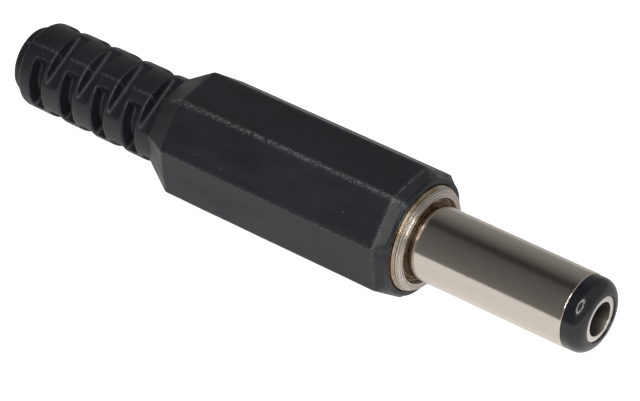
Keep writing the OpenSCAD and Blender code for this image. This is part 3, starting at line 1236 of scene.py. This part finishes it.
@dataclass
class Studio:
    """The floor, a ring lamp above the near side, the room's soft light and the camera."""

    plug: Plug
    azimuth: float = 40.56
    elevation: float = 41.51
    roll: float = -4.68
    distance: float = 230.0
    lens: float = 185.7
    target: tuple[float, float, float] = (-7.5, 0.0, 0.0)
    shift_right: float = 1.674
    shift_down: float = 0.033
    ring_towards: tuple[float, float, float] = (0.3, -0.5, 0.81)
    ring_distance: float = 230.0
    ring_radius: float = 78.0
    ring_width: float = 20.0
    ring_parts: int = 28
    ring_radiance: float = 13.5
    ring_overlap: float = 1.02
    floor_half: float = 1200.0
    floor_gap: float = 0.02
    paper_glow: float = 0.93
    mirrored_glow: float = 0.33
    side_level: float = 0.42
    rear_shade: float = 9.0

    def directions(self) -> tuple[Vector, Vector, Vector]:
        """The camera's right, up and back directions."""
        az = math.radians(self.azimuth)
        el = math.radians(self.elevation)
        back = Vector((math.sin(az) * math.cos(el), -math.cos(az) * math.cos(el), math.sin(el)))
        right = Vector((math.cos(az), math.sin(az), 0.0))
        up = back.cross(right)
        roll = math.radians(self.roll)
        turned_right = right * math.cos(roll) + up * math.sin(roll)
        turned_up = up * math.cos(roll) - right * math.sin(roll)
        return turned_right, turned_up, back

    def camera(self) -> None:
        """Places the camera."""
        right, up, back = self.directions()
        place = Vector(self.target) - right * self.shift_right + up * self.shift_down + back * self.distance
        data = bpy.data.cameras.new("camera")
        data.lens = self.lens
        data.sensor_width = 36.0
        data.clip_start = 0.001
        data.clip_end = 20.0
        camera = bpy.data.objects.new("camera", data)
        turn = Matrix((right, up, back)).transposed().to_4x4()
        camera.matrix_world = Matrix.Translation(place * MM) @ turn
        bpy.context.scene.collection.objects.link(camera)
        bpy.context.scene.camera = camera

    def ring_lamp(self) -> None:
        """Places short lamps in a ring above the plug's near side."""
        back = Vector(self.ring_towards).normalized()
        right = back.cross(Vector((0.0, 0.0, 1.0))).normalized()
        up = right.cross(back)
        tip = Vector((self.plug.nose_end, 0.0, 0.0))
        hub = (tip + back * self.ring_distance) * MM
        length = 2 * math.pi * self.ring_radius / self.ring_parts * self.ring_overlap
        power = self.ring_radiance * math.pi * length * self.ring_width * MM**2
        for i in range(self.ring_parts):
            angle = 2 * math.pi * i / self.ring_parts
            outward = right * math.cos(angle) + up * math.sin(angle)
            data = bpy.data.lights.new(f"ring_lamp_{i}", "AREA")
            data.shape = "RECTANGLE"
            data.size = length * MM
            data.size_y = self.ring_width * MM
            data.energy = power
            data.color = (1.0, 0.985, 0.96)
            lamp = bpy.data.objects.new(data.name, data)
            along = outward.cross(back)
            turn = Matrix((along, outward, back)).transposed().to_4x4()
            lamp.matrix_world = Matrix.Translation(hub + outward * self.ring_radius * MM) @ turn
            bpy.context.scene.collection.objects.link(lamp)

    def floor(self) -> None:
        """Lays the floor under the lowest flat."""
        mesh = bpy.data.meshes.new("floor")
        half = self.floor_half * MM
        z = (self.plug.floor - self.floor_gap) * MM
        corners = [(-half, -half, z), (half, -half, z), (half, half, z), (-half, half, z)]
        mesh.from_pydata(corners, [], [(0, 1, 2, 3)])
        piece = bpy.data.objects.new("floor", mesh)
        bpy.context.scene.collection.objects.link(piece)
        material = bpy.data.materials.new("floor_paper")
        material.use_nodes = True
        tree = material.node_tree
        tree.nodes.clear()
        output = tree.nodes.new("ShaderNodeOutputMaterial")
        paper = tree.nodes.new("ShaderNodeBsdfDiffuse")
        paper.inputs["Color"].default_value = (0.8, 0.8, 0.8, 1.0)
        glow = tree.nodes.new("ShaderNodeEmission")
        glow.inputs["Color"].default_value = (1.0, 1.0, 1.0, 1.0)
        rays = tree.nodes.new("ShaderNodeLightPath")
        seen = tree.nodes.new("ShaderNodeMath")
        seen.operation = "MULTIPLY"
        tree.links.new(rays.outputs["Is Camera Ray"], seen.inputs[0])
        seen.inputs[1].default_value = self.paper_glow
        place = tree.nodes.new("ShaderNodeTexCoord")
        split = tree.nodes.new("ShaderNodeSeparateXYZ")
        tree.links.new(place.outputs["Object"], split.inputs[0])
        # Glossy rays see the floor give off light that fades to nothing over rear_shade mm behind the plug:
        # painted shade in reflections there.
        fall = tree.nodes.new("ShaderNodeMapRange")
        tree.links.new(split.outputs["Y"], fall.inputs["Value"])
        fall.inputs["From Min"].default_value = 0.0
        fall.inputs["From Max"].default_value = self.rear_shade * MM
        fall.inputs["To Min"].default_value = self.mirrored_glow
        fall.inputs["To Max"].default_value = 0.0
        mirrored = tree.nodes.new("ShaderNodeMath")
        mirrored.operation = "MULTIPLY_ADD"
        tree.links.new(rays.outputs["Is Glossy Ray"], mirrored.inputs[0])
        tree.links.new(fall.outputs["Result"], mirrored.inputs[1])
        tree.links.new(seen.outputs[0], mirrored.inputs[2])
        tree.links.new(mirrored.outputs[0], glow.inputs["Strength"])
        both = tree.nodes.new("ShaderNodeAddShader")
        tree.links.new(paper.outputs[0], both.inputs[0])
        tree.links.new(glow.outputs[0], both.inputs[1])
        tree.links.new(both.outputs[0], output.inputs["Surface"])
        mesh.materials.append(material)

    def room(self) -> None:
        """Lights the room softly, darker overhead and paler behind the plug."""
        world = bpy.data.worlds.new("room")
        world.use_nodes = True
        tree = world.node_tree
        tree.nodes.clear()
        output = tree.nodes.new("ShaderNodeOutputWorld")
        place = tree.nodes.new("ShaderNodeTexCoord")
        split = tree.nodes.new("ShaderNodeSeparateXYZ")
        tree.links.new(place.outputs["Generated"], split.inputs[0])
        angle = tree.nodes.new("ShaderNodeMath")
        angle.operation = "ARCTAN2"
        tree.links.new(split.outputs["Z"], angle.inputs[0])
        tree.links.new(split.outputs["Y"], angle.inputs[1])
        share = tree.nodes.new("ShaderNodeMath")
        share.operation = "DIVIDE"
        share.use_clamp = True
        tree.links.new(angle.outputs[0], share.inputs[0])
        share.inputs[1].default_value = math.pi
        ramp = tree.nodes.new("ShaderNodeValToRGB")
        tree.links.new(share.outputs[0], ramp.inputs[0])
        levels = (
            (0.0, 0.36),
            (0.07, 0.30),
            (0.22, 0.22),
            (0.35, 0.11),
            (0.42, 0.045),
            (0.47, 0.05),
            (0.53, 0.10),
            (0.66, 0.13),
            (0.85, 0.17),
            (1.0, 0.22),
        )
        stops = ramp.color_ramp.elements
        while len(stops) < len(levels):
            stops.new(0.5)
        for stop, (where, level) in zip(stops, levels):
            stop.position = where
            stop.color = (level, level * 0.975, level * 0.95, 1.0)
        side = tree.nodes.new("ShaderNodeMapRange")
        side.interpolation_type = "SMOOTHSTEP"
        side.inputs["From Min"].default_value = -0.2
        side.inputs["From Max"].default_value = 0.45
        tree.links.new(split.outputs["X"], side.inputs["Value"])
        blend = tree.nodes.new("ShaderNodeMix")
        blend.data_type = "RGBA"
        tree.links.new(side.outputs["Result"], blend.inputs["Factor"])
        tree.links.new(ramp.outputs[0], blend.inputs[6])
        level = self.side_level
        blend.inputs[7].default_value = (level, level * 0.985, level * 0.965, 1.0)
        room = tree.nodes.new("ShaderNodeBackground")
        tree.links.new(blend.outputs[2], room.inputs["Color"])
        white = tree.nodes.new("ShaderNodeBackground")
        white.inputs["Color"].default_value = (1.0, 1.0, 1.0, 1.0)
        rays = tree.nodes.new("ShaderNodeLightPath")
        mix = tree.nodes.new("ShaderNodeMixShader")
        tree.links.new(rays.outputs["Is Camera Ray"], mix.inputs[0])
        tree.links.new(room.outputs[0], mix.inputs[1])
        tree.links.new(white.outputs[0], mix.inputs[2])
        tree.links.new(mix.outputs[0], output.inputs["Surface"])
        bpy.context.scene.world = world

    def build(self) -> None:
        """Sets up the whole studio."""
        bpy.context.scene.view_settings.view_transform = "Standard"
        self.camera()
        self.floor()
        self.ring_lamp()
        self.room()


def main() -> None:
    """Builds each part of the plug in order and reports its pieces."""
    logging.basicConfig(level=logging.INFO, format="%(name)s: %(message)s")
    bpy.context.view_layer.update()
    plug = Plug()
    Studio(plug).build()
    thread = Thread(major_r=3.45)

    cover = MouldedCover(plug, thread)
    moulding = cover.build()
    cover.dress(moulding)
    front = MetalFront(plug, thread)
    metal = front.build()
    front.dress(metal)
    insulator = Insulator(plug)
    nose = insulator.build()
    insulator.dress(nose)
    solder = SolderEnd()
    terminals = solder.build()
    solder.dress(terminals)

    for piece in [moulding, *metal, nose, *terminals]:
        LOG.info("%s: %d faces", piece.name, len(piece.data.polygons))


if __name__ == "__main__":
    main()
